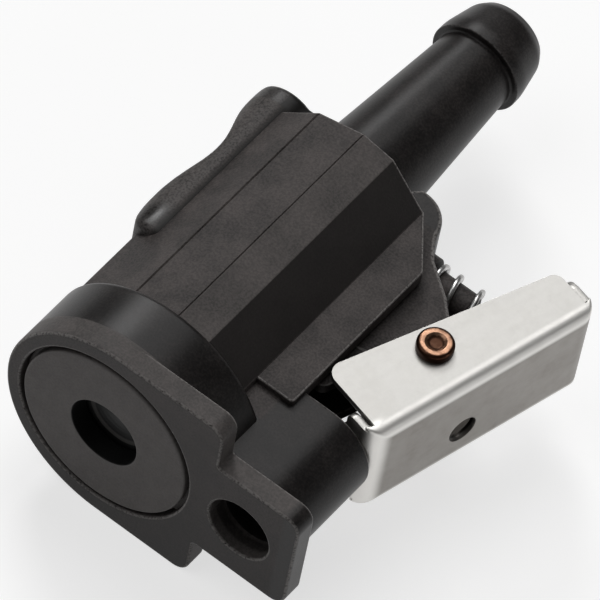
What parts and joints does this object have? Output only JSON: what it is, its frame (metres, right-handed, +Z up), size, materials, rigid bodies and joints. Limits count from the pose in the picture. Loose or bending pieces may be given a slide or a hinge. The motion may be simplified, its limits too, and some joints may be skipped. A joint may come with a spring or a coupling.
{
  "type": "fuel hose connector",
  "caption": "Quick-release fuel hose connector with a rubber face seal, a check valve, a guide hole, a sprung steel latch lever and a hose barb.",
  "frame": {"origin": "on the axis of the seal's hole, at the front face of the flange and the seal", "axes": "+Y along the fuel passage from the sealing face to the hose barb, +X from the passage to the guide hole and the latch, +Z up as the part lies on a table"},
  "size_m": [0.044, 0.0695, 0.0266],
  "materials": {
    "moulding": "matt black moulding with a fine grain",
    "seal_rubber": "dull dark grey rubber",
    "valve_plastic": "matt black",
    "latch_sheet": "satin stainless sheet with rounded folds",
    "rivet_copper": "polished copper coloured head",
    "spring_steel": "bright drawn wire"
  },
  "bodies": {
    "shell": {"body": "moulding", "face_seal": "seal_rubber", "valve_spring": "spring_steel", "latch_spring": "spring_steel"},
    "valve": {"valve_plunger": "valve_plastic"},
    "latch": {"latch_lever": "latch_sheet", "latch_pin": "rivet_copper"}
  },
  "joints": [
    {"name": "valve_slide", "type": "slide", "parent": "shell", "child": "valve", "axis": [0, 1, 0], "range_m": [0, 0.0035], "stiffness_N_per_m": 250, "springref_m": -0.008, "deforming": ["valve_spring"]},
    {"name": "latch_hinge", "type": "hinge", "parent": "shell", "child": "latch", "pos_m": [0.0209, 0.0275, 0], "axis": [0, 0, 1], "range_deg": [0, 10], "stiffness_Nm_per_rad": 0.2, "springref_deg": -17.19, "deforming": ["latch_spring"]}
  ]
}
